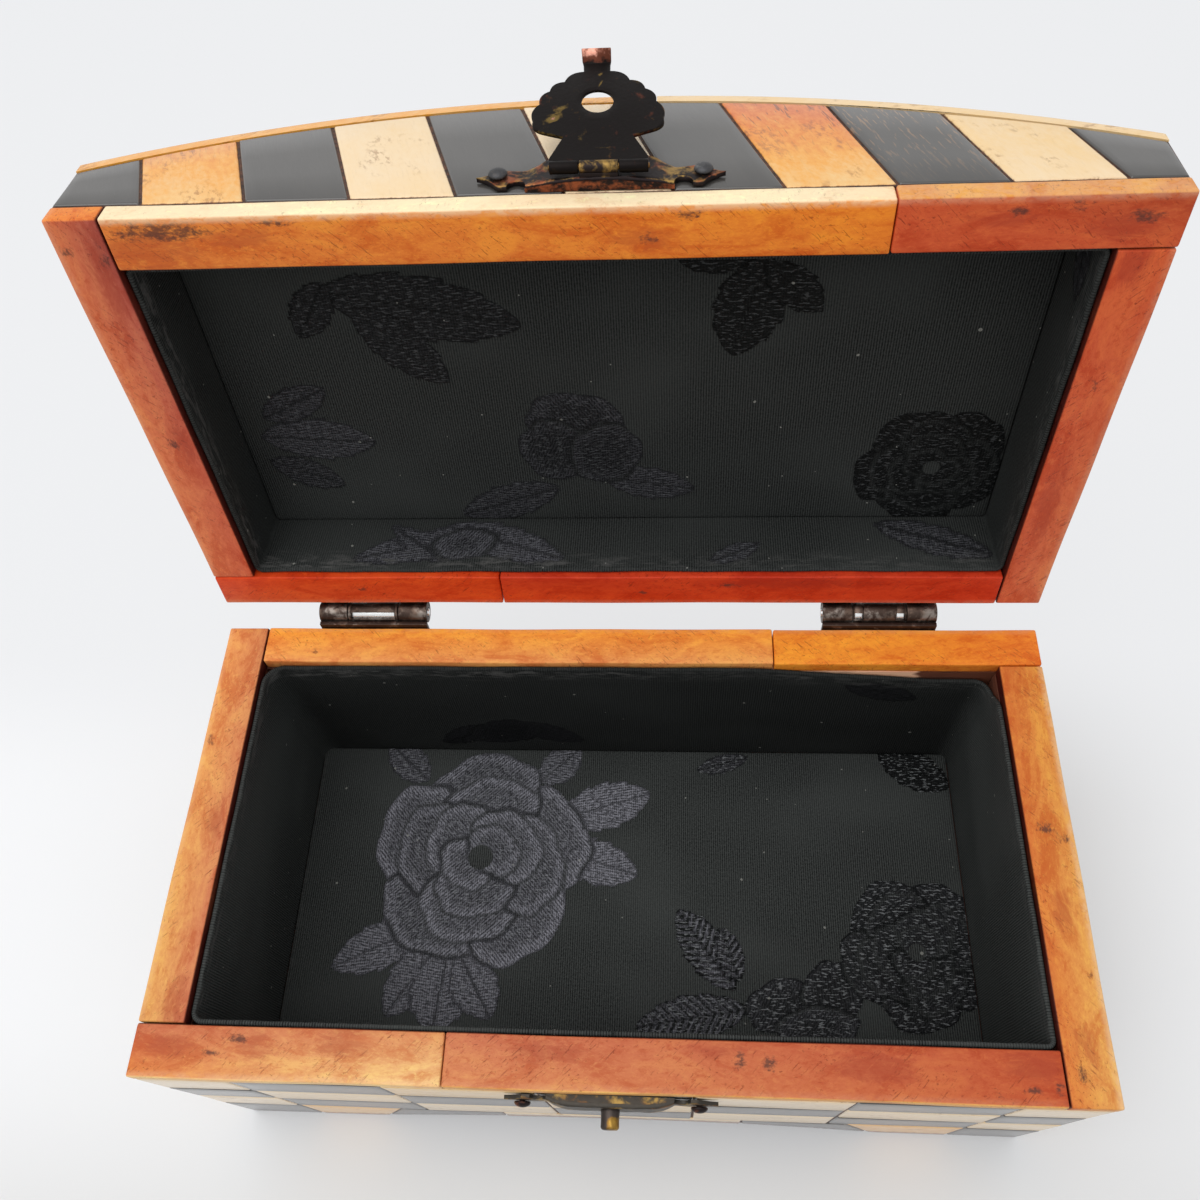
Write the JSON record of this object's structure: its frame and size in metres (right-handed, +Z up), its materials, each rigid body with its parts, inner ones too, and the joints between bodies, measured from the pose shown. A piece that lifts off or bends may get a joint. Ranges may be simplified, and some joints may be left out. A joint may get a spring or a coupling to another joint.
{
  "type": "dome top jewelry box",
  "caption": "Dome-topped jewelry box faced with bone and horn tiles on bracket feet, lined in black damask, with a lid on butt hinges and a hasp that drops over a post.",
  "frame": {"origin": "on the table under the middle of the open box's bounding box", "axes": "+X along the box's width to the right, +Y to the back where the hinges are, +Z up"},
  "size_m": [0.19, 0.1674, 0.1831],
  "materials": {
    "carcass_wood": "raw timber boards with a dark red-brown stain",
    "bone_tile": "polished bone, cream with brown pores",
    "horn_tile": "polished black horn",
    "stained_bone": "polished bone stained amber to red",
    "pale_bone": "polished bone, pale honey",
    "damask": "black jacquard with a tone on tone rose",
    "bronze": "darkened bronze with copper wear",
    "hinge_steel": "dull dark steel",
    "worn_brass": "worn brass"
  },
  "bodies": {
    "base": {"base_back_board": "carcass_wood", "base_back_inlay": "bone_tile", "base_bottom_board": "carcass_wood", "base_floor_lining": "damask", "base_front_board": "carcass_wood", "base_front_inlay": "bone_tile", "base_left_board": "carcass_wood", "base_left_inlay": "bone_tile", "base_right_board": "carcass_wood", "base_right_inlay": "bone_tile", "base_rim_back_left": "stained_bone", "base_rim_back_right": "stained_bone", "base_rim_front_left": "stained_bone", "base_rim_front_right": "stained_bone", "base_rim_left": "stained_bone", "base_rim_right": "stained_bone", "base_wall_lining": "damask", "hinge_left_base_leaf": "hinge_steel", "hinge_left_pin": "hinge_steel", "hinge_right_base_leaf": "hinge_steel", "hinge_right_pin": "hinge_steel", "keeper_nail_left": "bronze", "keeper_nail_right": "bronze", "keeper_plate": "bronze", "keeper_post": "worn_brass"},
    "lid": {"hasp_nail_left": "bronze", "hasp_nail_right": "bronze", "hasp_plate": "bronze", "hinge_left_lid_leaf": "hinge_steel", "hinge_right_lid_leaf": "hinge_steel", "lid_back_board": "carcass_wood", "lid_back_inlay": "bone_tile", "lid_border_back": "pale_bone", "lid_border_front_left": "pale_bone", "lid_border_front_right": "pale_bone", "lid_border_left": "pale_bone", "lid_border_right": "pale_bone", "lid_ceiling_lining": "damask", "lid_front_board": "carcass_wood", "lid_front_inlay": "bone_tile", "lid_left_board": "carcass_wood", "lid_left_inlay": "bone_tile", "lid_right_board": "carcass_wood", "lid_right_inlay": "bone_tile", "lid_rim_back_left": "stained_bone", "lid_rim_back_right": "stained_bone", "lid_rim_front_left": "stained_bone", "lid_rim_front_right": "stained_bone", "lid_rim_left": "stained_bone", "lid_rim_right": "stained_bone", "lid_top_board": "carcass_wood", "lid_top_inlay": "bone_tile", "lid_wall_lining": "damask"},
    "flap": {"hasp_flap": "bronze", "hasp_pin": "worn_brass"}
  },
  "joints": [
    {"name": "lid_hinge", "type": "hinge", "parent": "base", "child": "lid", "pos_m": [0, 0.02607, 0.075], "axis": [1, 0, 0], "range_deg": [0, 100.7]},
    {"name": "hasp_hinge", "type": "hinge", "parent": "lid", "child": "flap", "pos_m": [0, 0.05181, 0.17944], "axis": [1, 0, 0], "range_deg": [0, 166]}
  ]
}
